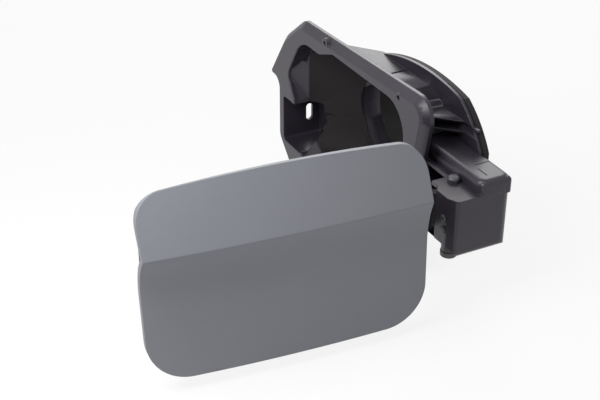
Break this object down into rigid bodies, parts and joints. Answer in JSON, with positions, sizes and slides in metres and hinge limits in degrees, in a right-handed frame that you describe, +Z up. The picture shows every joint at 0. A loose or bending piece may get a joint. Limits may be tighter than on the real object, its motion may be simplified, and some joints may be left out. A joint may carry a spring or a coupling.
{
  "type": "car fuel door with filler pot",
  "caption": "Ridged grey outer fuel door that swings on a gooseneck arm from a black moulded filler pot with a flange, latch pocket and neck seal.",
  "frame": {"origin": "centre of the filler neck's hole, on its axis just behind the pot's base", "axes": "+X towards the hinge side, -Y out of the car and +Y into it along the neck's axis, +Z up"},
  "size_m": [0.2713, 0.2752, 0.1348],
  "materials": {
    "pot_plastic": "black moulded polypropylene with a fine grain",
    "panel_plastic": "black glass-filled nylon",
    "rubber": "black rubber",
    "primer": "satin grey primer",
    "dark_steel": "black-coated steel",
    "bright_steel": "bright steel"
  },
  "bodies": {
    "housing": {"filler_pot": "pot_plastic", "rear_seal": "rubber", "neck_gasket": "rubber", "drain_nipple": "rubber", "hinge_pin": "dark_steel", "pin_retainer": "dark_steel", "spring_leaf": "bright_steel", "spring_rivets": "dark_steel"},
    "door": {"door_skin": "primer", "door_inner_panel": "panel_plastic", "hinge_arm": "panel_plastic", "arm_screws": "bright_steel", "bump_stops": "rubber", "cap_holder": "panel_plastic"}
  },
  "joints": [
    {"name": "door_hinge", "type": "hinge", "parent": "housing", "child": "door", "pos_m": [0.1225, -0.046, 0], "axis": [0, 0, 1], "range_deg": [-86, 0]}
  ]
}
